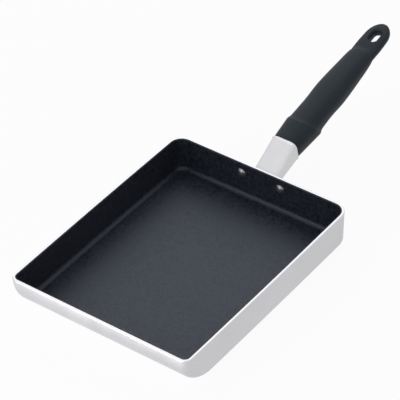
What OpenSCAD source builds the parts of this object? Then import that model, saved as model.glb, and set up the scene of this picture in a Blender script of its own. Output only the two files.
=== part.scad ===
// Rectangular rolled-omelette pan with a riveted handle.
// Origin: middle of the flat base. +Y runs to the handle, +Z is up. Millimetres.

/* [Pan body] */
// Outer width of the pan across its rim
pan_w = 148; // [120:1:200]
// Outer length of the pan along its rim, without the handle
pan_l = 192; // [150:1:240]
// Height of the pan from its base to its rim
pan_h = 29.5; // [26:0.5:40]
// Thickness of the pan's walls
wall_t = 2.5; // [2:0.1:3]
// Thickness of the pan's floor
floor_t = 2.5; // [2:0.1:4]
// Outer radius of the curved front wall, over which the omelette is turned
front_r = 28.5; // [18:0.5:28.5]
// Outer radius of the edge between floor and walls, which also rounds the front corners
edge_r = 6; // [5:0.5:8]
// Outer radius of the two back corners, seen from above
corner_r = 11; // [9:0.5:16]
// How far each side wall leans in between the rim and the base
side_draft = 0.65; // [0:0.05:1.5]

/* [Non-stick coating] */
// Thickness of the coating inside the pan
coat_t = 0.25; // [0.2:0.05:0.35]

/* [Rivets] */
// Distance between the two rivets
rivet_pitch = 33; // [30:0.5:38]
// Depth of the rivets below the rim
rivet_drop = 8.6; // [8:0.1:10]
// Diameter of a rivet's shank
rivet_d = 5; // [4:0.1:6]
// Diameter of a rivet's domed head inside the pan
rivet_head_d = 7.6; // [7:0.1:9]
// Height of that domed head
rivet_head_h = 1.8; // [1.2:0.1:2.5]
// Diameter of the flat head that is formed on the bracket
rivet_tail_d = 7.2; // [7:0.1:8]
// Height of that flat head
rivet_tail_h = 1.6; // [1:0.1:2.2]

/* [Handle bracket] */
// Width of the flange that is riveted to the back wall
flange_w = 46; // [44:1:56]
// Height of the flange
flange_h = 15.5; // [14:0.5:18]
// Thickness of the flange
flange_t = 2.5; // [2:0.1:3.5]
// Depth of the flange's top edge below the rim
flange_drop = 3; // [2:0.1:3.5]
// Width of the tang
tang_w = 13; // [10:0.5:14]
// Thickness of the tang
tang_t = 4; // [3:0.1:4.5]
// Length of the tang inside the handle
tang_in = 24; // [22:0.5:28]

/* [Neck] */
// Depth of the neck's axis below the rim, where it leaves the back wall
neck_drop = 10.6; // [10:0.1:11.5]
// Distance from the back wall to the handle
neck_l = 28.7; // [26:0.1:34]
// Height of the neck's axis above the rim, where it meets the handle
neck_rise = 1.7; // [0:0.1:4]

/* [Ferrule] */
// Width of the ferrule at the pan
ferrule_w_pan = 20.6; // [18:0.1:22]
// Height of the ferrule at the pan
ferrule_h_pan = 8.4; // [7.6:0.1:9]
// Width of the ferrule at the handle
ferrule_w = 20.8; // [19:0.1:21]
// Height of the ferrule at the handle
ferrule_h = 17.6; // [15:0.1:18]
// Sheet thickness of the ferrule
ferrule_t = 0.9; // [0.6:0.1:1.2]
// Length of the flat lip around the ferrule's end
lip_l = 0.8; // [0.5:0.1:1.5]

/* [Handle] */
// Length of the handle, from the ferrule to its tip
handle_l = 133; // [120:1:160]
// Angle of the handle above the horizontal, in degrees
handle_tilt = 12.8; // [8:0.1:18]
// Width of the handle's front end
front_w = 22; // [21.6:0.1:24]
// Height of the handle's front end
front_h = 18.8; // [18.4:0.1:20]
// Width over the flared collar
collar_w = 24.6; // [24:0.1:27]
// Distance from the front end to the edge of the collar
collar_l = 19; // [17:0.5:21]
// Distance from the front end to the finger guard underneath
guard_at = 28; // [26:0.5:30]
// Depth of the finger guard below the handle's axis
guard_d = 12.2; // [10.5:0.1:14]
// Width of the waist behind the guard
waist_w = 22.8; // [21:0.1:24]
// Width of the grip where it is widest
grip_w = 24.2; // [23:0.1:28]
// Height of the grip above the handle's axis
grip_top = 8.9; // [8:0.1:10]
// Depth of the grip below the handle's axis
grip_bottom = 9.6; // [8.5:0.1:11]
// Width at the back of the grip
grip_end_w = 20.6; // [19:0.1:22]
// Length of the thin hanging end
tab_l = 31; // [28:0.5:34]
// Width of the hanging end
tab_w = 19; // [18:0.1:20]
// Thickness of the hanging end
tab_t = 7; // [6:0.1:9]
// Length over which the tip is rounded
tip_r = 13; // [9.5:0.5:15]

/* [Hanging hole] */
// Distance from the middle of the hanging hole to the tip
hole_from_tip = 15; // [14:0.5:18]
// Width of the hanging hole
hole_w = 6.6; // [5:0.1:8]
// Length of the hanging hole
hole_l = 13; // [11:0.1:14]
// How far the dished edge on top is wider than the hole
hole_flare = 1.9; // [1:0.1:2.2]

/* [Handle screw] */
// Distance from the handle's front end to the screw
screw_at = 13; // [12:0.5:15]
// Diameter of the screw's thread
screw_d = 5; // [4:0.1:5.5]
// Diameter of the screw's head
screw_head_d = 8.6; // [8:0.1:9]
// Height of the screw's head
screw_head_h = 2.6; // [2:0.1:3]
// Plastic between the tang's socket and the screw's recess
screw_web = 2.6; // [2:0.1:3]
// Outer diameter of the spring washer
washer_d = 8.4; // [8:0.1:9]
// Thickness of the spring washer
washer_t = 1.1; // [0.8:0.1:1.4]

/* [Fits] */
// Gap around the tang in its socket, and around the screw in the plastic
socket_gap = 0.25; // [0.15:0.05:0.4]
// Gap between the screw's thread and the tapped hole in the tang
thread_gap = 0.05; // [0.02:0.01:0.1]
// Gap between the recess in the handle and the screw's head
recess_gap = 0.5; // [0.3:0.05:0.8]

/* [Hidden] */

// Lowest straight stretch of the front wall, under the rim
rim_lip = 1;
// Steps round a full circle: along the pan's curves, across its edges, and on round parts
shell_fn = 64;
edge_fn = 32;
round_fn = 48;
// A sliver of thickness that places a thin section, and a cut's overshoot past a face
sliver = 0.01;
past = 1;

back_y = pan_l / 2;
front_y = -pan_l / 2;
roll_r = min(front_r, pan_h - rim_lip);
rivet_z = pan_h - rivet_drop;
flange_y = back_y + flange_t;
joint_y = back_y + neck_l;
joint_z = pan_h + neck_rise;
root_z = pan_h - neck_drop;
neck_tilt = atan2(joint_z - root_z, neck_l);
grip_l = handle_l - tab_l;
hole_at = handle_l - hole_from_tip;
socket_h = tang_t + 2 * socket_gap;
socket_w = tang_w + 2 * socket_gap;
seat_d = socket_h / 2 + screw_web;

// Places its children in the handle's frame: +Y along the handle, origin in the middle of its front end
module on_handle() {
    translate([0, joint_y, joint_z])
        rotate([handle_tilt, 0, 0])
            children();
}

// The solid that the pan's surface bounds, inset by a wall and a floor thickness, with an open top raised by lift
module tray(wall, base, lift) {
    half_w = pan_w / 2 - wall;
    half_base = half_w - side_draft;
    edge = max(edge_r - wall, 0.5);
    corner = corner_r - wall;
    roll = roll_r - max(wall, base);
    back = back_y - wall;
    hull() {
        for (side = [-1, 1]) {
            translate([side * (half_w - corner), back - corner, pan_h - sliver])
                cylinder(r = corner, h = sliver + lift, $fn = shell_fn);
            translate([side * (half_w - edge), front_y + wall + edge, pan_h - sliver])
                cylinder(r = edge, h = sliver + lift, $fn = edge_fn);
            translate([side * (half_base - corner), back - corner, base + edge])
                rounded_rim(corner, edge, 180);
            translate([side * (half_base - edge), front_y + wall + roll, base + roll])
                rotate([0, 90, 0])
                    rotate([0, 0, -90])
                        rounded_rim(roll, edge, 90);
        }
    }
}

// Part of a ring of outer radius r, round in section with radius edge
module rounded_rim(r, edge, sweep) {
    rotate_extrude(angle = sweep, $fn = shell_fn)
        translate([r - edge, 0])
            intersection() {
                circle(r = edge, $fn = edge_fn);
                translate([0, -edge])
                    square([edge, 2 * edge]);
            }
}

module pan_body() {
    color("silver")
        difference() {
            tray(0, 0, 0);
            tray(wall_t, floor_t, past);
            rivet_axes()
                cylinder(d = rivet_d, h = pan_l / 4, center = true, $fn = round_fn);
        }
}

module nonstick_coating() {
    color("#23272e")
        difference() {
            intersection() {
                tray(wall_t, floor_t, past);
                translate([-pan_w, -pan_l, 0])
                    cube([2 * pan_w, 2 * pan_l, pan_h]);
            }
            tray(wall_t + coat_t, floor_t + coat_t, 2 * past);
            rivet_axes()
                cylinder(d = rivet_d, h = pan_l / 4, center = true, $fn = round_fn);
        }
}

// Both rivets' frames: +Z runs back through the wall, origin on the inside of the coated wall
module rivet_axes() {
    for (side = [-1, 1])
        translate([side * rivet_pitch / 2, back_y - wall_t - coat_t, rivet_z])
            rotate([-90, 0, 0])
                children();
}

module rivets() {
    grip = coat_t + wall_t + flange_t;
    dome_r = (pow(rivet_head_d / 2, 2) + pow(rivet_head_h, 2)) / (2 * rivet_head_h);
    color("dimgray")
        rivet_axes() {
            cylinder(d = rivet_d, h = grip, $fn = round_fn);
            rotate_extrude($fn = round_fn)
                intersection() {
                    translate([0, dome_r - rivet_head_h])
                        circle(r = dome_r, $fn = 4 * round_fn);
                    translate([0, -rivet_head_h])
                        square([rivet_head_d / 2, rivet_head_h]);
                }
            translate([0, 0, grip])
                cylinder(d1 = rivet_tail_d, d2 = rivet_tail_d - rivet_tail_h, h = rivet_tail_h, $fn = round_fn);
        }
}

module handle_bracket() {
    flange_r = flange_h / 4;
    flange_z = pan_h - flange_drop - flange_h;
    color("lightgray")
        difference() {
            union() {
                translate([0, flange_y, flange_z + flange_h / 2])
                    rotate([90, 0, 0])
                        linear_extrude(flange_t)
                            rounded_plate(flange_w, flange_h, flange_r);
                translate([-tang_w / 2, 0, 0])
                    rotate([90, 0, 90])
                        linear_extrude(tang_w)
                            tang_side();
            }
            rivet_axes()
                cylinder(d = rivet_d, h = pan_l / 4, center = true, $fn = round_fn);
            on_handle()
                translate([0, screw_at, 0])
                    cylinder(d = screw_d + 2 * thread_gap, h = 3 * tang_t, center = true, $fn = round_fn);
        }
}

// The tang from the side: up the neck, then straight on into the handle
module tang_side() {
    half = tang_t / 2;
    bend = (neck_tilt + handle_tilt) / 2;
    root_y = flange_y - flange_t / 2;
    root_h = half / cos(neck_tilt);
    root_mid = root_z + (root_y - back_y) * tan(neck_tilt);
    bend_out = half / cos((neck_tilt - handle_tilt) / 2) * [-sin(bend), cos(bend)];
    end_mid = [joint_y, joint_z] + tang_in * [cos(handle_tilt), sin(handle_tilt)];
    end_out = half * [-sin(handle_tilt), cos(handle_tilt)];
    polygon([
        [root_y, root_mid - root_h],
        [joint_y, joint_z] - bend_out,
        end_mid - end_out,
        end_mid + end_out,
        [joint_y, joint_z] + bend_out,
        [root_y, root_mid + root_h]
    ]);
}

module rounded_plate(w, h, r) {
    square([w, h - 2 * r], center = true);
    square([w - 2 * r, h], center = true);
    for (x = [-1, 1])
        for (y = [-1, 1])
            translate([x * (w / 2 - r), y * (h / 2 - r)])
                circle(r = r, $fn = round_fn);
}

module ferrule() {
    color("gainsboro")
        difference() {
            neck_shell(0);
            neck_shell(ferrule_t);
        }
}

// The ferrule's outer solid, or its hollow when inset by the sheet's thickness
module neck_shell(inset) {
    over = inset > 0 ? past : 0;
    pan_w_now = ferrule_w_pan - 2 * inset;
    pan_h_now = ferrule_h_pan - 2 * inset;
    hull() {
        translate([0, flange_y - over, root_z + (flange_t - over) * tan(neck_tilt)])
            neck_section(pan_w_now, pan_h_now, pan_h_now / 2.6, sliver);
        on_handle()
            translate([0, -lip_l, 0])
                neck_section(ferrule_w - 2 * inset, ferrule_h - 2 * inset, ferrule_h / 2.6 - inset, lip_l + over);
    }
}

// A rounded section across the neck, drawn along +Y
module neck_section(w, h, r, l) {
    translate([0, l, 0])
        rotate([90, 0, 0])
            linear_extrude(l)
                rounded_plate(w, h, r);
}

// Handle stations: distance from the front end, half width, height above and depth below the axis, squareness
stations = [
    [0, front_w / 2, front_h / 2, front_h / 2, 2.4],
    [collar_l * 0.6, (front_w + 2 * collar_w) / 6, front_h / 2 + 0.6, front_h / 2 + 0.7, 2.4],
    [collar_l, collar_w / 2, front_h / 2 + 1, front_h / 2 + 1.2, 2.4],
    [guard_at, (collar_w + waist_w) / 4 + 0.1, grip_top + 0.3, guard_d, 2.4],
    [guard_at + 11, waist_w / 2, grip_top, grip_bottom - 0.8, 2.4],
    [grip_l * 0.58, grip_w / 2, grip_top, grip_bottom, 2.5],
    [grip_l - 10, grip_end_w / 2 + 0.6, grip_top - 1.3, grip_bottom - 1, 2.5],
    [grip_l, grip_end_w / 2, grip_top - 2, grip_bottom - 2.4, 2.6],
    [grip_l + 8, tab_w / 2 + 0.2, tab_t / 2, tab_t / 2, 3],
    [handle_l, tab_w / 2 - 0.6, tab_t / 2, tab_t / 2, 3]
];

// Smooth value of column k at distance u
function slope(k, i) =
    i == 0 || i == len(stations) - 1 ? 0
    : (stations[i + 1][k] - stations[i - 1][k]) / (stations[i + 1][0] - stations[i - 1][0]);
function segment(u, i = 0) = i >= len(stations) - 2 || u <= stations[i + 1][0] ? i : segment(u, i + 1);
function along(k, u) =
    let (
        i = segment(u),
        a = stations[i],
        b = stations[i + 1],
        d = b[0] - a[0],
        t = (u - a[0]) / d
    )
    (1 + 2 * t) * pow(1 - t, 2) * a[k] + t * pow(1 - t, 2) * d * slope(k, i)
    + t * t * (3 - 2 * t) * b[k] - t * t * (1 - t) * d * slope(k, i + 1);

// The rounding of the tip, from 1 along the handle to 0 at its very end
function tip_scale(u) = u < handle_l - tip_r ? 1 : sqrt(max(1 - pow((u - handle_l + tip_r) / tip_r, 2), 0));
function power(v, p) = sign(v) * pow(abs(v), p);

ring_n = 40;
ring_step = 3;
tip_steps = 9;
body_u = [for (i = [0:floor((handle_l - tip_r) / ring_step)]) i * ring_step];
tip_u = [for (i = [0:tip_steps - 1]) handle_l - tip_r + tip_r * sin(90 * i / tip_steps)];
ring_u = concat([for (u = body_u) if (u < tip_u[0] - 1) u], tip_u, [handle_l - 0.05]);

function ring(u) =
    let (s = max(tip_scale(u), 0.06), flat = pow(s, 0.4), p = 2 / along(4, u))
    [for (j = [0:ring_n - 1])
        let (a = 360 * (j + 0.5) / ring_n)
        [
            s * along(1, u) * power(cos(a), p),
            u,
            flat * along(a < 180 ? 2 : 3, u) * power(sin(a), p)
        ]
    ];

module grip_solid() {
    points = [for (u = ring_u) each ring(u)];
    last = len(ring_u) - 1;
    faces = concat(
        [[for (j = [ring_n - 1:-1:0]) j]],
        [for (i = [0:last - 1]) for (j = [0:ring_n - 1])
            let (a = i * ring_n + j, b = i * ring_n + (j + 1) % ring_n)
            each [[a, b, a + ring_n], [b, b + ring_n, a + ring_n]]
        ],
        [[for (j = [0:ring_n - 1]) last * ring_n + j]]
    );
    polyhedron(points, faces);
}

module handle() {
    color("#2b2e33")
        on_handle()
            difference() {
                grip_solid();
                translate([-socket_w / 2, -past, -socket_h / 2])
                    cube([socket_w, past + tang_in + socket_gap, socket_h]);
                translate([0, screw_at, -seat_d - past])
                    cylinder(d = screw_d + 2 * socket_gap, h = 2 * seat_d, $fn = round_fn);
                translate([0, screw_at, -seat_d - 2 * guard_d])
                    cylinder(d = screw_head_d + 2 * recess_gap, h = 2 * guard_d, $fn = round_fn);
                translate([0, hole_at, -tab_t])
                    linear_extrude(2 * tab_t)
                        slot(hole_w, hole_l);
                hull() {
                    translate([0, hole_at, 0])
                        linear_extrude(sliver)
                            slot(hole_w, hole_l);
                    translate([0, hole_at, tab_t / 2])
                        linear_extrude(past)
                            slot(hole_w + 2 * hole_flare, hole_l + hole_flare);
                }
            }
}

module slot(w, l) {
    square([w, l - w], center = true);
    for (end = [-1, 1])
        translate([0, end * (l - w) / 2])
            circle(d = w, $fn = round_fn);
}

module spring_washer() {
    split = 0.8;
    color("darkgray")
        on_handle()
            translate([0, screw_at, -seat_d - washer_t])
                difference() {
                    cylinder(d = washer_d, h = washer_t, $fn = round_fn);
                    translate([0, 0, -past])
                        cylinder(d = screw_d + 2 * socket_gap, h = washer_t + 2 * past, $fn = round_fn);
                    translate([0, -split / 2, -past])
                        cube([washer_d, split, washer_t + 2 * past]);
                }
}

module handle_screw() {
    head_z = -seat_d - washer_t;
    thread_l = -head_z + tang_t / 2 + 0.8;
    recess = 1.6;
    arm = 1.1;
    color("darkgray")
        on_handle()
            translate([0, screw_at, head_z])
                difference() {
                    union() {
                        cylinder(d = screw_d, h = thread_l, $fn = round_fn);
                        translate([0, 0, -screw_head_h])
                            rotate_extrude($fn = round_fn)
                                polygon([
                                    [0, 0],
                                    [screw_head_d / 3, 0],
                                    [screw_head_d / 2, screw_head_h / 2],
                                    [screw_head_d / 2, screw_head_h],
                                    [0, screw_head_h]
                                ]);
                    }
                    for (turn = [0, 90])
                        rotate([0, 0, turn])
                            translate([-screw_d / 2, -arm / 2, -screw_head_h - past])
                                cube([screw_d, arm, past + recess]);
                }
}

pan_body();
nonstick_coating();
rivets();
handle_bracket();
ferrule();
handle();
spring_washer();
handle_screw();
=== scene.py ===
"""The looks of a rolled-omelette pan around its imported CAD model. Metres, +Y to the handle, +Z up."""

import math

import bmesh
import bpy
from mathutils import Matrix, Vector


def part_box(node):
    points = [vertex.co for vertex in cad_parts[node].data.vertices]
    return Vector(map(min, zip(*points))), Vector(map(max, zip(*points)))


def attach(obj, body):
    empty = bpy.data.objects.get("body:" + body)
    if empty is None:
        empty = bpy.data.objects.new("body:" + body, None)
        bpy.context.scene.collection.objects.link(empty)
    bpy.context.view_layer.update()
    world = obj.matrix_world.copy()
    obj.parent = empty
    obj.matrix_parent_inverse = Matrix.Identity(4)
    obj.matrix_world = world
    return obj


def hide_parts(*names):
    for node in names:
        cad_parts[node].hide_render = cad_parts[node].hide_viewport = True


bl_info = {
    "name": "Omelette Pan",
    "version": (1, 0, 0),
    "blender": (4, 5, 0),
    "location": "3D View > Sidebar > Pan",
    "description": "Builds the pan's visible pieces, its finishes and its studio",
    "category": "Object",
}

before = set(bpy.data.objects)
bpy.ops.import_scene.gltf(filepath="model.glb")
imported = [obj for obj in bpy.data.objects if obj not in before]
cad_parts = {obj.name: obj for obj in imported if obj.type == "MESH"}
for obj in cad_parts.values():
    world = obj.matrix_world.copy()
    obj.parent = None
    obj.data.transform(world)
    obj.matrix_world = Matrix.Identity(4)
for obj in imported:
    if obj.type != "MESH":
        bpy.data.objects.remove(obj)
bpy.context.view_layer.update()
MM = 0.001
PAN_LOW, PAN_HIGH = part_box("pan_body")
FERRULE_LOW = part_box("ferrule")[0]
RIVETS_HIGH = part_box("rivets")[1]


def measure(name, description, millimetres):
    """A length property with a default in millimetres."""
    return bpy.props.FloatProperty(
        name=name, description=description, default=millimetres * MM,
        min=0, subtype="DISTANCE", unit="LENGTH")


def shade(name, description, default):
    """A colour property."""
    return bpy.props.FloatVectorProperty(
        name=name, description=description, default=default, size=3, subtype="COLOR", min=0, max=1)


def spot(name, description, default):
    """A property that holds a place."""
    return bpy.props.FloatVectorProperty(
        name=name, description=description, default=default, size=3, subtype="TRANSLATION", unit="LENGTH")


def strength(name, description, default):
    """A property for the power of a lamp, in watts, or for the strength of the surroundings."""
    return bpy.props.FloatProperty(name=name, description=description, default=default, min=0)


class PanSizes(bpy.types.PropertyGroup):
    """Sizes of the pan's shell; its overall box comes from the frame."""

    wall: measure("Wall", "Thickness of the walls and the floor", 2.5)
    front_radius: measure("Front radius", "Outer radius of the curved front wall", 28.5)
    edge_radius: measure("Edge radius", "Outer radius between floor and walls, and of the front corners", 6)
    corner_radius: measure("Corner radius", "Outer radius of the back corners", 11)
    side_draft: measure("Side draft", "How far a side leans in from the rim to the base", 0.65)
    side_crown: measure("Side crown", "How far a side bulges out half way along", 0.44)
    rim_round: measure("Rim rounding", "Radius of the rim's two edges", 0.7)
    film: measure("Film", "Thickness of the non-stick coating", 0.25)
    film_bite: measure("Film bite", "How far the coating reaches into the metal, to leave no gap", 0.025)
    rivet_pitch: measure("Rivet pitch", "Distance between the two rivets", 33)
    rivet_drop: measure("Rivet drop", "Depth of the rivets below the rim", 8.6)
    rivet_head: measure("Rivet head", "Diameter of a rivet's domed head", 7.6)
    rivet_height: measure("Rivet height", "Height of a rivet's domed head", 1.8)
    rivet_tail: measure("Rivet tail", "Height of a rivet's flat head on the bracket", 1.6)
    rivet_gap: measure("Rivet edge", "Height of the straight edge under a rivet's dome", 0.12)


class HandleSizes(bpy.types.PropertyGroup):
    """Sizes of the ferrule and the handle."""

    tilt: bpy.props.FloatProperty(
        name="Tilt", description="Angle of the handle above the horizontal",
        default=math.radians(12.8), subtype="ANGLE")
    joint_reach: measure("Joint reach", "From the pan's back wall to the handle's front end", 28.7)
    joint_rise: measure("Joint rise", "From the rim up to the middle of the handle's front end", 1.7)
    length: measure("Length", "Length of the handle from the ferrule to its tip", 133)
    root_drop: measure("Root drop", "From the rim down to the middle of the ferrule at the pan", 9.7)
    ferrule_width: measure("Ferrule width", "Half width of the ferrule at the pan", 10.3)
    ferrule_widening: measure("Widening", "How much the half width grows towards the handle", 0.1)
    ferrule_height: measure("Ferrule height", "Half height of the ferrule at the pan", 4.2)
    ferrule_heightening: measure("Heightening", "How much the half height grows towards the handle", 4.6)
    ferrule_thickness: measure("Sheet", "Thickness of the ferrule's sheet", 0.9)
    lip: measure("Lip", "Length of the ferrule's rolled lip", 1.2)
    lip_height: measure("Lip height", "How far the lip stands out", 0.25)
    tip_length: measure("Tip", "Length over which the tip is rounded", 13)
    crescent: measure("Crescent", "How far the end of the grip bows towards the tip", 4)
    hole_from_tip: measure("Hole place", "Distance from the middle of the hanging hole to the tip", 14)
    hole_width: measure("Hole width", "Width of the hanging hole", 5.6)
    hole_length: measure("Hole length", "Length of the hanging hole", 12)
    hole_flare: measure("Hole flare", "How far the dished edge on top is wider than the hole", 2.4)
    screw_place: measure("Screw place", "From the handle's front end to its screw", 13)
    recess_radius: measure("Recess radius", "Radius of the recess for the screw's head", 4.8)
    recess_top: measure("Recess top", "Depth of the recess's flat top under the handle's middle", 4.85)
    recess_depth: measure("Recess depth", "Depth of the recess, well past the handle's skin", 12)


class PanSettings(bpy.types.PropertyGroup):
    """Colours of the pan's finishes."""

    metal: shade("Metal", "Colour of the bare pan metal", (0.61, 0.61, 0.63))
    coating: shade("Coating", "Colour of the non-stick coating", (0.011, 0.013, 0.018))
    plastic: shade("Plastic", "Colour of the moulded handle", (0.022, 0.027, 0.034))
    rivet: shade("Rivets", "Colour of the coated rivets", (0.20, 0.20, 0.22))
    steel: shade("Steel", "Colour of the bracket, screw and washer", (0.50, 0.50, 0.51))


class StudioSettings(bpy.types.PropertyGroup):
    """The camera and the lamps."""

    camera_place: spot("Camera place", "Where the camera stands", (0.7910, -1.0365, 1.1343))
    camera_target: spot("Camera target", "The point in the middle of the picture", (-0.0167, 0.0437, 0.0295))
    camera_roll: bpy.props.FloatProperty(
        name="Camera roll", description="Turn of the camera about its line of sight",
        default=math.radians(-1.375), subtype="ANGLE")
    camera_lens: bpy.props.FloatProperty(
        name="Lens", description="Focal length on a 36 mm sensor, in millimetres", default=225.9, min=10)
    key_power: strength("Key light", "Power of the large lamp behind the pan, on the left", 12.0)
    fill_power: strength("Fill light", "Power of the lamp at the front", 9.0)
    strip_power: strength("Strip light", "Power of the strip on the table in front of the pan", 1.5)
    world_strength: strength("Surroundings", "Strength of the light from all round", 0.55)


class Skin:
    """A mesh built from patches of (point, normal) pairs, which are merged where they meet."""

    def __init__(self):
        self.mesh = bmesh.new()
        self.normal = self.mesh.verts.layers.float_vector.new("normal")

    def vertex(self, point, normal):
        vertex = self.mesh.verts.new(point)
        vertex[self.normal] = normal
        return vertex

    def patch(self, rows, flip=False):
        grid = [[self.vertex(*pair) for pair in row] for row in rows]
        for low, high in zip(grid, grid[1:]):
            for corners in zip(low, low[1:], high[1:], high):
                self.mesh.faces.new(corners[::-1] if flip else corners)

    def face(self, pairs, flip=False):
        corners = [self.vertex(*pair) for pair in pairs]
        self.mesh.faces.new(corners[::-1] if flip else corners)

    def finish(self, name, warp=None):
        bmesh.ops.remove_doubles(self.mesh, verts=self.mesh.verts, dist=0.002 * MM)
        bmesh.ops.dissolve_degenerate(self.mesh, edges=self.mesh.edges, dist=0.001 * MM)
        bmesh.ops.recalc_face_normals(self.mesh, faces=self.mesh.faces)
        normals = [vertex[self.normal].copy() for vertex in self.mesh.verts]
        if warp:
            for vertex in self.mesh.verts:
                vertex.co = warp(vertex.co)
        mesh = bpy.data.meshes.new(name)
        self.mesh.to_mesh(mesh)
        self.mesh.free()
        mesh.shade_smooth()
        mesh.normals_split_custom_set_from_vertices(normals)
        return add_piece(name, mesh)


def add_piece(name, mesh):
    piece = bpy.data.objects.new(name, mesh)
    bpy.context.scene.collection.objects.link(piece)
    return piece


def hand_over(piece, material, slot, *nodes):
    """Finishes a piece that stands for CAD nodes: its material, its body and what it replaces."""
    piece.data.materials.clear()
    piece.data.materials.append(material)
    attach(piece, "root")
    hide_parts(*nodes)


def turns(steps):
    """Angles from 0 to a quarter turn."""
    return [math.pi / 2 * i / steps for i in range(steps + 1)]


ROLL_STEPS = 28
ROUND_STEPS = 12
WALL_ROWS = 4
SIDE_SPANS = 8
TURN_STEPS = 40
DOME_STEPS = 12
SHANK_SHARE = 0.62  # the rivet's shank, as a share of its head
TAIL_SHARE = 0.9  # the rivet's flat head, as a share of its domed head


class Tray:
    """The pan's surface, offset inwards by any amount. Its patches are rows of (point, normal) pairs."""

    def __init__(self, sizes):
        self.top = PAN_HIGH.z
        self.half = PAN_HIGH.x - sizes.side_draft
        self.back = PAN_HIGH.y
        self.front = PAN_LOW.y
        self.roll = sizes.front_radius
        self.edge = sizes.edge_radius
        self.corner = sizes.corner_radius
        self.draft = sizes.side_draft
        self.crown = sizes.side_crown
        self.roll_y = self.front + self.roll
        self.roll_z = self.roll
        self.ring = self.roll - self.edge

    def warp(self, point):
        """Adds the draft and the crown of the sides."""
        rise = min(max((point.z - self.edge) / (self.top - self.edge), 0), 1)
        middle = (self.front + self.back) / 2
        along = (point.y - middle) / (self.back - middle)
        grow = (self.draft * rise + self.crown * (1 - along * along)) / self.half
        return Vector((point.x * (1 + grow), point.y, point.z))

    def levels(self, angles):
        """The rows of a corner as (angle, share of the way up to the rim), from the rim down."""
        return [(0, 1 - i / WALL_ROWS) for i in range(WALL_ROWS)] + [(angle, 0) for angle in angles]

    def front_corner(self, side, inset, top):
        """The corner where the front roll meets a side; each row starts in the front wall."""
        rows = []
        for psi, lift in self.levels(turns(ROLL_STEPS)):
            row = []
            for phi in turns(ROUND_STEPS):
                ring = Vector((0, -math.cos(psi), -math.sin(psi)))
                normal = Vector((side * math.sin(phi), *(math.cos(phi) * ring.yz)))
                hub = Vector((side * (self.half - self.edge), self.roll_y, self.roll_z))
                point = hub + self.ring * ring + (self.edge - inset) * normal
                point.z += lift * (top - point.z)
                row.append((point, normal))
            rows.append(row)
        return rows

    def back_corner(self, side, inset, top):
        """The corner between a side and the back wall; each row starts in the side."""
        rows = []
        for beta, lift in self.levels(turns(ROUND_STEPS)):
            row = []
            for alpha in turns(ROUND_STEPS):
                ring = Vector((side * math.cos(alpha), math.sin(alpha), 0))
                normal = math.cos(beta) * ring - Vector((0, 0, math.sin(beta)))
                hub = Vector((side * (self.half - self.corner), self.back - self.corner, self.edge))
                point = hub + (self.corner - self.edge) * ring + (self.edge - inset) * normal
                point.z += lift * (top - point.z)
                row.append((point, normal))
            rows.append(row)
        return rows

    def side_places(self):
        """Places along a side, from the front roll to the back corner."""
        reach = self.back - self.corner - self.roll_y
        return [self.roll_y + reach * i / SIDE_SPANS for i in range(SIDE_SPANS + 1)]

    def side_wall(self, side, inset, top):
        """Columns along the side, from the curve of the front roll to the back corner."""
        normal = Vector((side, 0, 0))
        foot = [(self.roll_y - self.ring * math.cos(psi), self.roll_z - self.ring * math.sin(psi))
                for psi in turns(ROLL_STEPS)]
        foot += [(y, self.edge) for y in self.side_places()[1:]]
        columns = []
        for y, z in foot:
            low = Vector((side * (self.half - inset), y, z))
            high = Vector((low.x, y, top))
            columns.append([(low.lerp(high, i / WALL_ROWS), normal) for i in range(WALL_ROWS + 1)])
        return columns

    def side_edge(self, side, inset):
        """The rounded edge between the floor and a side, each row from the floor up."""
        rows = []
        for y in self.side_places():
            hub = Vector((side * (self.half - self.edge), y, self.edge))
            row = []
            for phi in turns(ROUND_STEPS):
                normal = Vector((side * math.sin(phi), 0, -math.cos(phi)))
                row.append((hub + (self.edge - inset) * normal, normal))
            rows.append(row)
        return rows


def add_tray(skin, tray, inset, top, flip):
    """Adds one whole offset surface of the tray; flip turns it to face the inside."""
    inward = -1 if flip else 1

    def add(rows, turned_over):
        skin.patch([[(point, inward * normal) for point, normal in row] for row in rows], turned_over)

    front_left, front_right = (tray.front_corner(side, inset, top) for side in (-1, 1))
    back_left, back_right = (tray.back_corner(side, inset, top) for side in (-1, 1))
    for side, front, back in ((-1, front_left, back_left), (1, front_right, back_right)):
        other = flip != (side < 0)
        add(front, other)
        add(back, other)
        add(tray.side_wall(side, inset, top), not other)
        add(tray.side_edge(side, inset), not other)
    add([[a[0], b[0]] for a, b in zip(front_left, front_right)], flip)
    add([[b[-1], a[-1]] for a, b in zip(back_left, back_right)], flip)
    left_foot, right_foot = ([row[0] for row in tray.side_edge(side, inset)[:-1]] for side in (-1, 1))
    outline = left_foot + back_left[-1] + list(reversed(back_right[-1])) + list(reversed(right_foot))
    down = Vector((0, 0, -inward))
    skin.face([(point, down) for point, _ in outline], flip)


def rim_loop(tray, inset, height):
    """The closed loop of (point, level normal) pairs round the rim, at an inset and a height."""
    right = [column[-1] for column in tray.side_wall(1, inset, height)]
    left = [column[-1] for column in tray.side_wall(-1, inset, height)]
    back_right = tray.back_corner(1, inset, height)[0]
    back_left = tray.back_corner(-1, inset, height)[0]
    front_right = tray.front_corner(1, inset, height)[0]
    front_left = tray.front_corner(-1, inset, height)[0]
    return (right + back_right[1:] + list(reversed(back_left))
            + list(reversed(left))[1:] + list(reversed(front_left))[1:] + front_right)


def add_rim(skin, tray, profile):
    """Joins the outer and the inner surface through (inset, height, tilt of the normal) steps."""
    loops = []
    for inset, height, tilt in profile:
        loop = rim_loop(tray, inset, height)
        up = Vector((0, 0, math.sin(tilt)))
        loops.append([(point, math.cos(tilt) * normal + up) for point, normal in loop])
    skin.patch([loop + loop[:1] for loop in loops])


RIM_STEPS = 6
FILM_TOP_SHARE = 0.3  # the film's thickness on top of the rim, as a share of its thickness inside


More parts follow.
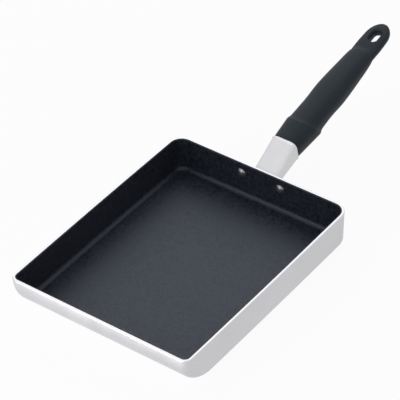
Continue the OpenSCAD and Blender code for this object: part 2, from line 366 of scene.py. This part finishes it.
def rounded_rim(tray, sizes):
    """The rim's profile, from the outer wall over both rounded edges to the inner wall."""
    r = sizes.rim_round
    low = tray.top - r
    inside = sizes.wall - r
    outer = [(r - r * math.cos(a), low + r * math.sin(a), a) for a in turns(RIM_STEPS)]
    inner = [(inside + r * math.sin(a), low + r * math.cos(a), math.pi / 2 + a) for a in turns(RIM_STEPS)]
    return outer + inner


def film_rim(tray, sizes):
    """The profile of the film's edge: up inside the metal, and back over the rim's rounded inner edge."""
    r = sizes.rim_round
    low = tray.top - r
    root = sizes.wall - sizes.film_bite
    cover = r + FILM_TOP_SHARE * sizes.film
    bulge = cover + (1 - FILM_TOP_SHARE) * sizes.film
    hidden = [(root - r + r * math.sin(a), low + r * math.cos(a) - sizes.film_bite, math.pi / 2 + a)
              for a in reversed(turns(RIM_STEPS))]
    shown = [(sizes.wall - r + bulge * math.sin(a), low + cover * math.cos(a), math.pi / 2 + a)
             for a in turns(RIM_STEPS)]
    return [(root, low, 0)] + hidden + shown


def pan_shell(tray, sizes):
    """The pressed metal shell."""
    skin = Skin()
    top = tray.top - sizes.rim_round
    add_tray(skin, tray, 0, top, False)
    add_tray(skin, tray, sizes.wall, top, True)
    add_rim(skin, tray, rounded_rim(tray, sizes))
    return skin.finish("pan_shell", tray.warp)


def coated_inside(tray, sizes):
    """The film on the inside of the shell."""
    skin = Skin()
    top = tray.top - sizes.rim_round
    add_tray(skin, tray, sizes.wall - sizes.film_bite, top, False)
    add_tray(skin, tray, sizes.wall + sizes.film, top, True)
    add_rim(skin, tray, film_rim(tray, sizes))
    return skin.finish("coated_inside", tray.warp)


def revolved(skin, place, axis, profile):
    """Turns a profile of (radius, distance along the axis, slope angle) about an axis through place."""
    side = axis.orthogonal().normalized()
    across = axis.cross(side)
    rows = []
    for radius, along, slope in profile:
        row = []
        for i in range(TURN_STEPS + 1):
            turn = 2 * math.pi * (i % TURN_STEPS) / TURN_STEPS
            out = math.cos(turn) * side + math.sin(turn) * across
            normal = math.cos(slope) * out + math.sin(slope) * axis
            row.append((place + radius * out + along * axis, normal))
        rows.append(row)
    skin.patch(rows)


def rivet_profile(sizes, grip):
    """From the middle of the domed head inside the pan to the middle of the flat head on the bracket."""
    radius = sizes.rivet_head / 2
    height = sizes.rivet_height
    dome = (radius * radius + height * height) / (2 * height)
    reach = math.asin(radius / dome)
    profile = []
    for i in range(DOME_STEPS + 1):
        angle = reach * i / DOME_STEPS
        along = dome - height - dome * math.cos(angle)
        profile.append((dome * math.sin(angle), along, angle - math.pi / 2))
    shank = SHANK_SHARE * radius
    foot = sizes.rivet_gap
    profile += [(radius, foot, 0), (radius, foot, math.pi / 2), (shank, foot, math.pi / 2), (shank, grip, 0)]
    tail = TAIL_SHARE * radius
    profile.append((tail, grip, 0))
    edge = sizes.rivet_tail / 2
    flat = tail - edge
    end = grip + sizes.rivet_tail
    profile += [(flat + edge * math.cos(a), end - edge + edge * math.sin(a), a) for a in turns(RIM_STEPS)]
    profile.append((0, end, math.pi / 2))
    return profile


def rivet_pair(sizes):
    """Both rivets, from their domed heads inside the pan to their flat heads behind the bracket."""
    skin = Skin()
    inside = PAN_HIGH.y - sizes.wall - sizes.film
    grip = RIVETS_HIGH.y - inside - sizes.rivet_tail
    for side in (-1, 1):
        place = Vector((side * sizes.rivet_pitch / 2, inside, PAN_HIGH.z - sizes.rivet_drop))
        revolved(skin, place, Vector((0, 1, 0)), rivet_profile(sizes, grip))
    return skin.finish("rivet_pair")


FERRULE_STEPS = 120
FERRULE_SQUARENESS = 4.4
FERRULE_CREASE = 50
FERRULE_PLACES = (0, 0.03, 0.1, 0.2, 0.35, 0.5, 0.65, 0.8, 0.9)
FERRULE_INNER_PLACES = (0.995, 0.8, 0.5, 0.2, 0)
# The lip's steps: distance from the sleeve's end in lip lengths, and share of the lip's height
LIP_STEPS = ((1.3, 0.1), (1, 0.5), (0.7, 0.9), (0.45, 1), (0.2, 0.8), (0.05, 0.3))


def superellipse(angle, half_width, above, below, squareness):
    """A point (x, z) of a rounded section whose top and bottom halves have their own heights."""
    power = 2 / squareness
    x = math.copysign(abs(math.cos(angle)) ** power, math.cos(angle)) * half_width
    height = above if math.sin(angle) > 0 else below
    return x, math.copysign(abs(math.sin(angle)) ** power, math.sin(angle)) * height


def loft(name, rings, closed_loop=False):
    """A mesh through rings of points, capped at both ends or joined end to end."""
    count = len(rings[0])
    points = [point for ring in rings for point in ring]
    faces = []
    spans = len(rings) if closed_loop else len(rings) - 1
    for i in range(spans):
        low = i * count
        high = (i + 1) % len(rings) * count
        faces += [(low + j, low + (j + 1) % count, high + (j + 1) % count, high + j) for j in range(count)]
    if not closed_loop:
        faces.append(tuple(reversed(range(count))))
        faces.append(tuple(range(len(points) - count, len(points))))
    mesh = bpy.data.meshes.new(name)
    mesh.from_pydata(points, [], faces)
    shape = bmesh.new()
    shape.from_mesh(mesh)
    bmesh.ops.recalc_face_normals(shape, faces=shape.faces)
    shape.to_mesh(mesh)
    shape.free()
    return mesh


def smooth(mesh, crease):
    """Smooth shading, except at edges sharper than crease degrees."""
    mesh.shade_smooth()
    mesh.set_sharp_from_angle(angle=math.radians(crease))


def eased(t):
    """A share from 0 to 1 with a soft start and a soft end."""
    t = min(max(t, 0), 1)
    return t * t * (3 - 2 * t)


def handle_frame(sizes):
    """The handle's own frame: +Y along it, with the origin in the middle of its front end."""
    joint = Vector((0, PAN_HIGH.y + sizes.joint_reach, PAN_HIGH.z + sizes.joint_rise))
    return Matrix.Translation(joint) @ Matrix.Rotation(sizes.tilt, 4, "X")


def ferrule_section(t, sizes, inset, flare):
    """One section of the ferrule, a share t of the way from the pan to the handle."""
    root = Vector((0, FERRULE_LOW.y, PAN_HIGH.z - sizes.root_drop))
    centre = root.lerp(handle_frame(sizes).to_translation(), t)
    lean = sizes.tilt * eased(t)
    half_width = sizes.ferrule_width + sizes.ferrule_widening * t - inset + flare
    half_height = sizes.ferrule_height + sizes.ferrule_heightening * t - inset + flare
    ring = []
    for i in range(FERRULE_STEPS):
        angle = 2 * math.pi * (i + 0.5) / FERRULE_STEPS
        x, z = superellipse(angle, half_width, half_height, half_height, FERRULE_SQUARENESS)
        ring.append(centre + Vector((x, -z * math.sin(lean), z * math.cos(lean))))
    return ring


def ferrule_sleeve(sizes):
    """The sheet sleeve between the pan and the handle, with a rolled lip round its wide end."""
    lip = sizes.lip / (handle_frame(sizes).to_translation().y - FERRULE_LOW.y)
    steps = [(t, 0, 0) for t in FERRULE_PLACES + (1 - 1.6 * lip,)]
    steps += [(1 - lip * back, 0, sizes.lip_height * rise) for back, rise in LIP_STEPS]
    steps += [(t, sizes.ferrule_thickness, 0) for t in FERRULE_INNER_PLACES]
    rings = [ferrule_section(t, sizes, inset, flare) for t, inset, flare in steps]
    mesh = loft("ferrule_sleeve", rings, True)
    smooth(mesh, FERRULE_CREASE)
    return add_piece("ferrule_sleeve", mesh)


# The handle's sections, in mm: distance from the front end, half width, height above and below the axis,
# and last the squareness of the rounded section
HANDLE_STATIONS = (
    (0, 10.6, 9.1, 9.1, 2.5),
    (0.8, 11.0, 9.45, 9.45, 2.45),
    (11, 11.8, 9.95, 10.8, 2.4),
    (21.6, 12.45, 10.6, 12.3, 2.4),
    (22.8, 12.4, 10.5, 12.2, 2.4),
    (24.8, 11.9, 9.8, 10.9, 2.4),
    (28, 11.7, 9.5, 9.9, 2.4),
    (43, 11.5, 9.0, 9.1, 2.4),
    (60, 11.9, 8.7, 9.4, 2.5),
    (92, 10.2, 6.7, 8.1, 2.5),
    (101, 9.6, 5.6, 6.2, 2.6),
    (103, 9.6, 4.1, 4.4, 2.9),
    (105, 9.6, 3.6, 3.7, 3),
    (110, 9.7, 3.5, 3.5, 3),
    (133, 8.9, 3.5, 3.5, 3),
)
COLLAR_END = 22.8
COLLAR_LEAN_ABOVE = 4.8  # how far the collar's end leans to the pan on top
COLLAR_LEAN_BELOW = 9.5  # how far it leans to the tip below
WAIST = 43
CRESCENT_START = 60
CRESCENT_REACH = 25
HANDLE_STEPS = 96
HANDLE_STRIDE = 0.75
FIRST_RINGS = (0, 0.4, 0.8)
STRIDE_START = 1.5
NOSE_GAP = 0.4
TIP_GAP = 0.01
HANDLE_CREASE = 38
TIP_STEPS = 16
TIP_FLATNESS = 0.4  # below 1, the tip keeps its thickness longer than its width
LEAST_SHARE = 0.02
SLOT_STEPS = 48
DISH_STEPS = 6


def station_value(column, distance):
    """The smooth value of one column of the handle's stations at a distance in mm."""
    last = len(HANDLE_STATIONS) - 1
    i = 0
    while i < last - 1 and distance > HANDLE_STATIONS[i + 1][0]:
        i += 1

    def slope(k):
        if k in (0, last):
            return 0
        before, after = HANDLE_STATIONS[k - 1], HANDLE_STATIONS[k + 1]
        return (after[column] - before[column]) / (after[0] - before[0])

    low, high = HANDLE_STATIONS[i], HANDLE_STATIONS[i + 1]
    span = high[0] - low[0]
    t = min(max((distance - low[0]) / span, 0), 1)
    return ((1 + 2 * t) * (1 - t) ** 2 * low[column] + t * (1 - t) ** 2 * span * slope(i)
            + t * t * (3 - 2 * t) * high[column] - t * t * (1 - t) * span * slope(i + 1))


def felt_distance(distance, angle, sizes):
    """Where the sections are read: the collar ends on a leaning plane, and the grip in a crescent."""
    lean = COLLAR_LEAN_BELOW if math.sin(angle) < 0 else COLLAR_LEAN_ABOVE
    edge = COLLAR_END - lean * math.sin(angle)
    if distance < edge:
        return distance * COLLAR_END / edge
    if distance < WAIST:
        return COLLAR_END + (distance - edge) * (WAIST - COLLAR_END) / (WAIST - edge)
    share = eased((distance - CRESCENT_START) / CRESCENT_REACH)
    return min(distance + sizes.crescent / MM * math.cos(angle) ** 2 * share, sizes.length / MM)


def handle_ring(distance, sizes):
    """The handle's section at a distance in mm."""
    end = sizes.length / MM
    tip = sizes.tip_length / MM
    past = max(distance - end + tip, 0) / tip
    narrow = max(math.sqrt(max(1 - past * past, 0)), LEAST_SHARE)
    flat = narrow ** TIP_FLATNESS
    ring = []
    for i in range(HANDLE_STEPS):
        angle = 2 * math.pi * (i + 0.5) / HANDLE_STEPS
        felt = felt_distance(distance, angle, sizes)
        half_width = station_value(1, felt if distance < WAIST else distance) * narrow
        above = station_value(2, felt) * flat
        below = station_value(3, felt) * flat
        x, z = superellipse(angle, half_width, above, below, station_value(4, distance))
        ring.append(Vector((x, distance, z)) * MM)
    return ring


def handle_distances(sizes):
    """Distances of the handle's rings in mm, closest together at the rounded tip."""
    end = sizes.length / MM
    start = end - sizes.tip_length / MM
    count = int(start / HANDLE_STRIDE)
    body = list(FIRST_RINGS) + [STRIDE_START + HANDLE_STRIDE * i for i in range(count)]
    nose = [start + sizes.tip_length / MM * math.sin(angle) for angle in turns(TIP_STEPS)]
    return [distance for distance in body if distance < start - NOSE_GAP] + nose[:-1] + [end - TIP_GAP]


def slot_ring(half_width, half_length, place, height):
    """A level slot with round ends, as a ring of points."""
    ring = []
    for i in range(SLOT_STEPS):
        angle = 2 * math.pi * i / SLOT_STEPS
        straight = half_length - half_width
        y = half_width * math.sin(angle) + math.copysign(straight, math.sin(angle) or 1)
        ring.append(Vector((half_width * math.cos(angle), place + y, height)))
    return ring


def hole_cutter(sizes):
    """The hanging hole, from its small chamfer below to its dished edge on top."""
    place = sizes.length - sizes.hole_from_tip
    half_width = sizes.hole_width / 2
    half_length = sizes.hole_length / 2
    flare = sizes.hole_flare
    thick = HANDLE_STATIONS[-1][2] * MM
    # Each step says how much wider and longer the slot is, and at which height
    steps = [(0.5 * MM, 0.5 * MM, -thick - 1 * MM), (0.4 * MM, 0.4 * MM, -thick),
             (0, 0, -thick + 0.7 * MM), (0, 0, 0)]
    for angle in turns(DISH_STEPS)[1:]:
        grow = flare * (1 - math.cos(angle))
        steps.append((grow, grow / 2, thick * math.sin(angle)))
    steps.append((flare + 0.5 * MM, flare / 2 + 0.3 * MM, thick + 0.4 * MM))
    rings = [slot_ring(half_width + wider, half_length + longer, place, z) for wider, longer, z in steps]
    return loft("hole_cutter", rings)


def recess_cutter(sizes):
    """The round recess under the handle for the screw's head and its washer."""
    recess = Skin()
    place = Vector((0, sizes.screw_place, -sizes.recess_top))
    radius = sizes.recess_radius
    out = -sizes.recess_depth
    profile = [(0, 0, math.pi / 2), (radius, 0, math.pi / 2), (radius, 0, 0),
               (radius, out, 0), (0, out, -math.pi / 2)]
    revolved(recess, place, Vector((0, 0, 1)), profile)
    tool = recess.finish("recess")
    mesh = tool.data
    bpy.data.objects.remove(tool)
    return mesh


def without(piece, cutter):
    """Takes the cutter's solid away from the piece."""
    tool = add_piece("cutter", cutter)
    cut = piece.modifiers.new("cut", "BOOLEAN")
    cut.operation = "DIFFERENCE"
    cut.solver = "EXACT"
    cut.object = tool
    graph = bpy.context.evaluated_depsgraph_get()
    mesh = bpy.data.meshes.new_from_object(piece.evaluated_get(graph))
    piece.modifiers.clear()
    piece.data = mesh
    bpy.data.objects.remove(tool)


def moulded_handle(sizes):
    """The grip, with its hanging hole and the recess for its screw."""
    mesh = loft("moulded_handle", [handle_ring(distance, sizes) for distance in handle_distances(sizes)])
    piece = add_piece("moulded_handle", mesh)
    without(piece, hole_cutter(sizes))
    without(piece, recess_cutter(sizes))
    piece.data.transform(handle_frame(sizes))
    smooth(piece.data, HANDLE_CREASE)
    return piece


class OMELETTE_OT_rivets(bpy.types.Operator):
    """Build the two rivets with their domed heads"""

    bl_idname = "omelette.rivets"
    bl_label = "Rivets"

    def execute(self, context):
        pair = rivet_pair(context.scene.omelette_pan_sizes)
        coat = coated_rivet("coated_rivet", context.scene.omelette_pan.rivet)
        hand_over(pair, coat, "rivet_coated", "rivets")
        return {"FINISHED"}


class OMELETTE_OT_ferrule(bpy.types.Operator):
    """Build the ferrule between the pan and the handle"""

    bl_idname = "omelette.ferrule"
    bl_label = "Ferrule"

    def execute(self, context):
        sleeve = ferrule_sleeve(context.scene.omelette_handle_sizes)
        # The ferrule's metal is the pan's colour painted 5% lighter: a painted highlight standing in for the
        # sheen its top lacks under the key lamp.
        sheet = satin_aluminium("ferrule_aluminium_painted_sheen", tinted(context.scene.omelette_pan.metal, 1.05))
        hand_over(sleeve, sheet, "ferrule_metal", "ferrule")
        return {"FINISHED"}


class OMELETTE_OT_handle(bpy.types.Operator):
    """Build the moulded handle with its hanging hole"""

    bl_idname = "omelette.handle"
    bl_label = "Handle"

    def execute(self, context):
        grip = moulded_handle(context.scene.omelette_handle_sizes)
        plastic = moulded_plastic("handle_plastic", context.scene.omelette_pan.plastic)
        hand_over(grip, plastic, "handle_plastic", "handle")
        return {"FINISHED"}


class OMELETTE_OT_pan_shell(bpy.types.Operator):
    """Build the pressed metal shell of the pan, with its rounded rim"""

    bl_idname = "omelette.pan_shell"
    bl_label = "Pan shell"

    def execute(self, context):
        sizes = context.scene.omelette_pan_sizes
        shell = pan_shell(Tray(sizes), sizes)
        metal = satin_aluminium("pan_aluminium", context.scene.omelette_pan.metal)
        hand_over(shell, metal, "pan_metal", "pan_body")
        return {"FINISHED"}


class OMELETTE_OT_coating(bpy.types.Operator):
    """Build the non-stick coating on the inside of the pan"""

    bl_idname = "omelette.coating"
    bl_label = "Coating"

    def execute(self, context):
        sizes = context.scene.omelette_pan_sizes
        film = coated_inside(Tray(sizes), sizes)
        coat = nonstick("nonstick_film", context.scene.omelette_pan.coating)
        hand_over(film, coat, "coating", "nonstick_coating")
        return {"FINISHED"}


NOISE_LOW, NOISE_HIGH = 0.3, 0.7  # nearly all the noise lies between these values


class Finish:
    """A material under construction: its Principled shader, and short ways to feed it."""

    def __init__(self, name, colour, metallic, roughness):
        self.material = bpy.data.materials.new(name)
        self.material.use_nodes = True
        self.nodes = self.material.node_tree.nodes
        self.links = self.material.node_tree.links
        self.shader = self.nodes["Principled BSDF"]
        self.shader.inputs["Base Color"].default_value = (*colour, 1)
        self.shader.inputs["Metallic"].default_value = metallic
        self.shader.inputs["Roughness"].default_value = roughness
        self.place = self.nodes.new("ShaderNodeTexCoord").outputs["Object"]

    def node(self, kind, **inputs):
        """A new node with its inputs set, or linked where a socket is given."""
        node = self.nodes.new(kind)
        for name, value in inputs.items():
            socket = node.inputs[name.replace("_", " ")]
            if isinstance(value, bpy.types.NodeSocket):
                self.links.new(value, socket)
            else:
                socket.default_value = value
        return node

    def noise(self, scale, detail=3.0, stretch=(1, 1, 1)):
        """Noise over the piece's own place, drawn out along each axis by stretch."""
        mapped = self.node("ShaderNodeMapping", Vector=self.place, Scale=tuple(1 / s for s in stretch))
        noise = self.node("ShaderNodeTexNoise", Vector=mapped.outputs["Vector"], Scale=scale, Detail=detail)
        return noise.outputs["Fac"]

    def spread(self, fac, low, high):
        """Noise around one half, remapped to a range of values."""
        mapped = self.node("ShaderNodeMapRange", Value=fac, From_Min=NOISE_LOW, From_Max=NOISE_HIGH,
                           To_Min=low, To_Max=high)
        return mapped.outputs["Result"]

    def vary_colour(self, fac, dark, light):
        """Lets the base colour run between two colours with the noise."""
        ramp = self.node("ShaderNodeValToRGB", Fac=fac)
        ends = zip(ramp.color_ramp.elements, (NOISE_LOW, NOISE_HIGH), (dark, light))
        for element, position, end_colour in ends:
            element.position = position
            element.color = (*end_colour, 1)
        self.links.new(ramp.outputs["Color"], self.shader.inputs["Base Color"])

    def vary_roughness(self, fac, low, high):
        """Lets the roughness run between two values with the noise."""
        self.links.new(self.spread(fac, low, high), self.shader.inputs["Roughness"])

    def bump(self, height, depth, strength):
        """Raises the surface by up to depth in metres, as far as strength goes."""
        bump = self.node("ShaderNodeBump", Height=height, Distance=depth, Strength=strength)
        self.links.new(bump.outputs["Normal"], self.shader.inputs["Normal"])


def tinted(colour, factor):
    """The colour made lighter or darker by a factor."""
    return tuple(min(1, c * factor) for c in colour)


def satin_aluminium(name, colour):
    """Blasted aluminium with a very fine grain and slight clouds in its sheen."""
    finish = Finish(name, colour, 1.0, 0.45)
    cloud = finish.noise(45, 4)
    grain = finish.noise(2200, 2)
    finish.vary_colour(cloud, tinted(colour, 0.96), tinted(colour, 1.03))
    finish.vary_roughness(cloud, 0.42, 0.50)
    finish.bump(grain, 0.02 * MM, 0.25)
    return finish.material


def brushed_metal(name, colour):
    """Plated steel with fine lines along +Y."""
    finish = Finish(name, colour, 1.0, 0.3)
    lines = finish.noise(900, 3, stretch=(1, 20, 1))
    finish.vary_colour(lines, tinted(colour, 0.93), tinted(colour, 1.05))
    finish.vary_roughness(lines, 0.24, 0.38)
    finish.bump(lines, 0.02 * MM, 0.3)
    return finish.material


def nonstick(name, colour):
    """A dark sprayed coating, finely speckled, with a bluish sheen."""
    finish = Finish(name, colour, 0.0, 0.48)
    finish.shader.inputs["Specular IOR Level"].default_value = 0.43
    finish.shader.inputs["Specular Tint"].default_value = (0.70, 0.80, 1.0, 1)
    speckle = finish.noise(480, 3)
    finish.vary_colour(speckle, tinted(colour, 0.3), tinted(colour, 1.8))
    finish.vary_roughness(speckle, 0.38, 0.58)
    finish.bump(speckle, 0.05 * MM, 0.5)
    return finish.material


def coated_rivet(name, colour):
    """Thinly coated metal, glossier than the coating round it."""
    finish = Finish(name, colour, 0.85, 0.26)
    cloud = finish.noise(500, 3)
    finish.vary_colour(cloud, tinted(colour, 0.9), tinted(colour, 1.1))
    finish.vary_roughness(cloud, 0.22, 0.30)
    return finish.material


def moulded_plastic(name, colour):
    """Matte plastic with the fine grain of its mould."""
    finish = Finish(name, colour, 0.0, 0.5)
    finish.shader.inputs["Specular IOR Level"].default_value = 0.12
    finish.shader.inputs["Specular Tint"].default_value = (0.78, 0.92, 1.0, 1)
    grain = finish.noise(2600, 2)
    cloud = finish.noise(60, 3)
    finish.vary_colour(cloud, tinted(colour, 0.92), tinted(colour, 1.1))
    finish.vary_roughness(cloud, 0.44, 0.54)
    finish.bump(grain, 0.04 * MM, 0.4)
    return finish.material


def set_finish(node, material):
    """Gives a CAD piece its finish and leaves its shape alone."""
    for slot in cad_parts[node].material_slots:
        slot.material = material


class OMELETTE_OT_finishes(bpy.types.Operator):
    """Give the bracket, the washer and the screw their finish"""

    bl_idname = "omelette.finishes"
    bl_label = "Finish the steel pieces"

    def execute(self, context):
        steel = brushed_metal("zinc_plated_steel", context.scene.omelette_pan.steel)
        for node in ("handle_bracket", "spring_washer", "handle_screw"):
            set_finish(node, steel)
        return {"FINISHED"}


FLOOR_REACH = 6.0
FLOOR_GAP = 0.1 * MM
FLOOR_WHITENESS = 0.92
# Each lamp's place, the point that it faces, its width and its height
KEY_LAMP = ((-1.0, 1.32, 1.45), (0, 0, 0), 2.2, 2.2)
FILL_LAMP = ((-0.5, -1.7, 0.9), (0, 0, 0), 1.4, 1.4)
STRIP_LAMP = ((-0.06, -0.45, 0.013), (0, 0, 0.013), 0.3, 0.02)


def camera_axes(place, target, roll):
    """The camera's matrix, looking from place to target, turned by roll about its line of sight."""
    back = (place - target).normalized()
    level = Vector((0, 0, 1)).cross(back).normalized()
    above = back.cross(level)
    right = math.cos(roll) * level + math.sin(roll) * above
    up = back.cross(right)
    turned = Matrix((right, up, back)).transposed().to_4x4()
    return Matrix.Translation(place) @ turned


def add_camera(studio):
    """The camera that took the photo, as solved from the pan's rim and base."""
    data = bpy.data.cameras.new("camera")
    data.sensor_width = 36
    data.lens = studio.camera_lens
    data.clip_start = 0.05
    camera = bpy.data.objects.new("camera", data)
    place = Vector(studio.camera_place)
    camera.matrix_world = camera_axes(place, Vector(studio.camera_target), studio.camera_roll)
    bpy.context.scene.collection.objects.link(camera)
    bpy.context.scene.camera = camera


def add_area_lamp(name, place, target, width, height, power):
    """A soft elliptical lamp that faces the target."""
    data = bpy.data.lights.new(name, "AREA")
    data.shape = "ELLIPSE"
    data.size = width
    data.size_y = height
    data.energy = power
    lamp = bpy.data.objects.new(name, data)
    lamp.matrix_world = camera_axes(Vector(place), Vector(target), 0)
    bpy.context.scene.collection.objects.link(lamp)


def seen_directly(nodes, links):
    """A factor of 1 for rays from the camera, and for those that metal or glass reflects."""
    path = nodes.new("ShaderNodeLightPath")
    factor = path.outputs["Is Camera Ray"]
    for name in ("Is Glossy Ray", "Is Transmission Ray"):
        either = nodes.new("ShaderNodeMath")
        either.operation = "MAXIMUM"
        links.new(factor, either.inputs[0])
        links.new(path.outputs[name], either.inputs[1])
        factor = either.outputs["Value"]
    return factor


def add_world(level):
    """Even light from all round, behind a white backdrop."""
    world = bpy.data.worlds.new("studio_world")
    world.use_nodes = True
    nodes = world.node_tree.nodes
    links = world.node_tree.links
    light = nodes["Background"]
    light.inputs["Color"].default_value = (1, 1, 1, 1)
    light.inputs["Strength"].default_value = level
    white = nodes.new("ShaderNodeBackground")
    white.inputs["Color"].default_value = (1, 1, 1, 1)
    white.inputs["Strength"].default_value = 1
    mix = nodes.new("ShaderNodeMixShader")
    links.new(seen_directly(nodes, links), mix.inputs["Fac"])
    links.new(light.outputs["Background"], mix.inputs[1])
    links.new(white.outputs["Background"], mix.inputs[2])
    links.new(mix.outputs["Shader"], nodes["World Output"].inputs["Surface"])
    bpy.context.scene.world = world


def floor_material():
    """Pale paint that shows as near white, with just a trace of the pan's shadow."""
    material = bpy.data.materials.new("pale_floor")
    material.use_nodes = True
    nodes = material.node_tree.nodes
    links = material.node_tree.links
    paint = nodes["Principled BSDF"]
    paint.inputs["Base Color"].default_value = (0.9, 0.9, 0.9, 1)
    paint.inputs["Roughness"].default_value = 0.9
    paint.inputs["Specular IOR Level"].default_value = 0.1
    glow = nodes.new("ShaderNodeEmission")
    glow.inputs["Strength"].default_value = 1
    whiten = nodes.new("ShaderNodeMath")
    whiten.operation = "MULTIPLY"
    whiten.inputs[1].default_value = FLOOR_WHITENESS
    links.new(seen_directly(nodes, links), whiten.inputs[0])
    mix = nodes.new("ShaderNodeMixShader")
    links.new(whiten.outputs["Value"], mix.inputs["Fac"])
    links.new(paint.outputs["BSDF"], mix.inputs[1])
    links.new(glow.outputs["Emission"], mix.inputs[2])
    links.new(mix.outputs["Shader"], nodes["Material Output"].inputs["Surface"])
    return material


def add_floor():
    """The table top, a hair below the pan's base so that the two faces don't coincide."""
    signs = ((-1, -1), (1, -1), (1, 1), (-1, 1))
    corners = [(x * FLOOR_REACH, y * FLOOR_REACH, -FLOOR_GAP) for x, y in signs]
    mesh = bpy.data.meshes.new("floor")
    mesh.from_pydata(corners, [], [(0, 1, 2, 3)])
    mesh.materials.append(floor_material())
    floor = bpy.data.objects.new("floor", mesh)
    bpy.context.scene.collection.objects.link(floor)


class OMELETTE_OT_studio(bpy.types.Operator):
    """Build the floor, the lamps and the camera"""

    bl_idname = "omelette.studio"
    bl_label = "Studio"

    def execute(self, context):
        studio = context.scene.omelette_studio
        context.scene.view_settings.view_transform = "Standard"
        add_floor()
        add_world(studio.world_strength)
        add_area_lamp("key_lamp", *KEY_LAMP, studio.key_power)
        add_area_lamp("fill_lamp", *FILL_LAMP, studio.fill_power)
        add_area_lamp("strip_lamp", *STRIP_LAMP, studio.strip_power)
        add_camera(studio)
        return {"FINISHED"}


OPERATORS = (OMELETTE_OT_pan_shell, OMELETTE_OT_coating, OMELETTE_OT_rivets, OMELETTE_OT_ferrule,
             OMELETTE_OT_handle, OMELETTE_OT_finishes, OMELETTE_OT_studio)


class OMELETTE_PT_pan(bpy.types.Panel):
    """Lists the pan's sizes and colours and the steps that build it"""

    bl_idname = "OMELETTE_PT_pan"
    bl_label = "Omelette Pan"
    bl_space_type = "VIEW_3D"
    bl_region_type = "UI"
    bl_category = "Pan"

    def draw(self, context):
        scene = context.scene
        sizes = (scene.omelette_pan_sizes, scene.omelette_handle_sizes)
        for group in sizes + (scene.omelette_pan, scene.omelette_studio):
            for name in group.bl_rna.properties.keys():
                if name not in ("rna_type", "name"):
                    self.layout.prop(group, name)
        for operator in OPERATORS:
            self.layout.operator(operator.bl_idname)


CLASSES = (PanSizes, HandleSizes, PanSettings, StudioSettings) + OPERATORS + (OMELETTE_PT_pan,)


def register():
    for cls in CLASSES:
        bpy.utils.register_class(cls)
    bpy.types.Scene.omelette_pan_sizes = bpy.props.PointerProperty(type=PanSizes)
    bpy.types.Scene.omelette_handle_sizes = bpy.props.PointerProperty(type=HandleSizes)
    bpy.types.Scene.omelette_pan = bpy.props.PointerProperty(type=PanSettings)
    bpy.types.Scene.omelette_studio = bpy.props.PointerProperty(type=StudioSettings)


def unregister():
    del bpy.types.Scene.omelette_studio
    del bpy.types.Scene.omelette_pan
    del bpy.types.Scene.omelette_handle_sizes
    del bpy.types.Scene.omelette_pan_sizes
    for cls in reversed(CLASSES):
        bpy.utils.unregister_class(cls)


def main():
    register()
    bpy.ops.omelette.pan_shell()
    bpy.ops.omelette.coating()
    bpy.ops.omelette.rivets()
    bpy.ops.omelette.ferrule()
    bpy.ops.omelette.handle()
    bpy.ops.omelette.finishes()
    bpy.ops.omelette.studio()


if __name__ == "__main__":
    main()
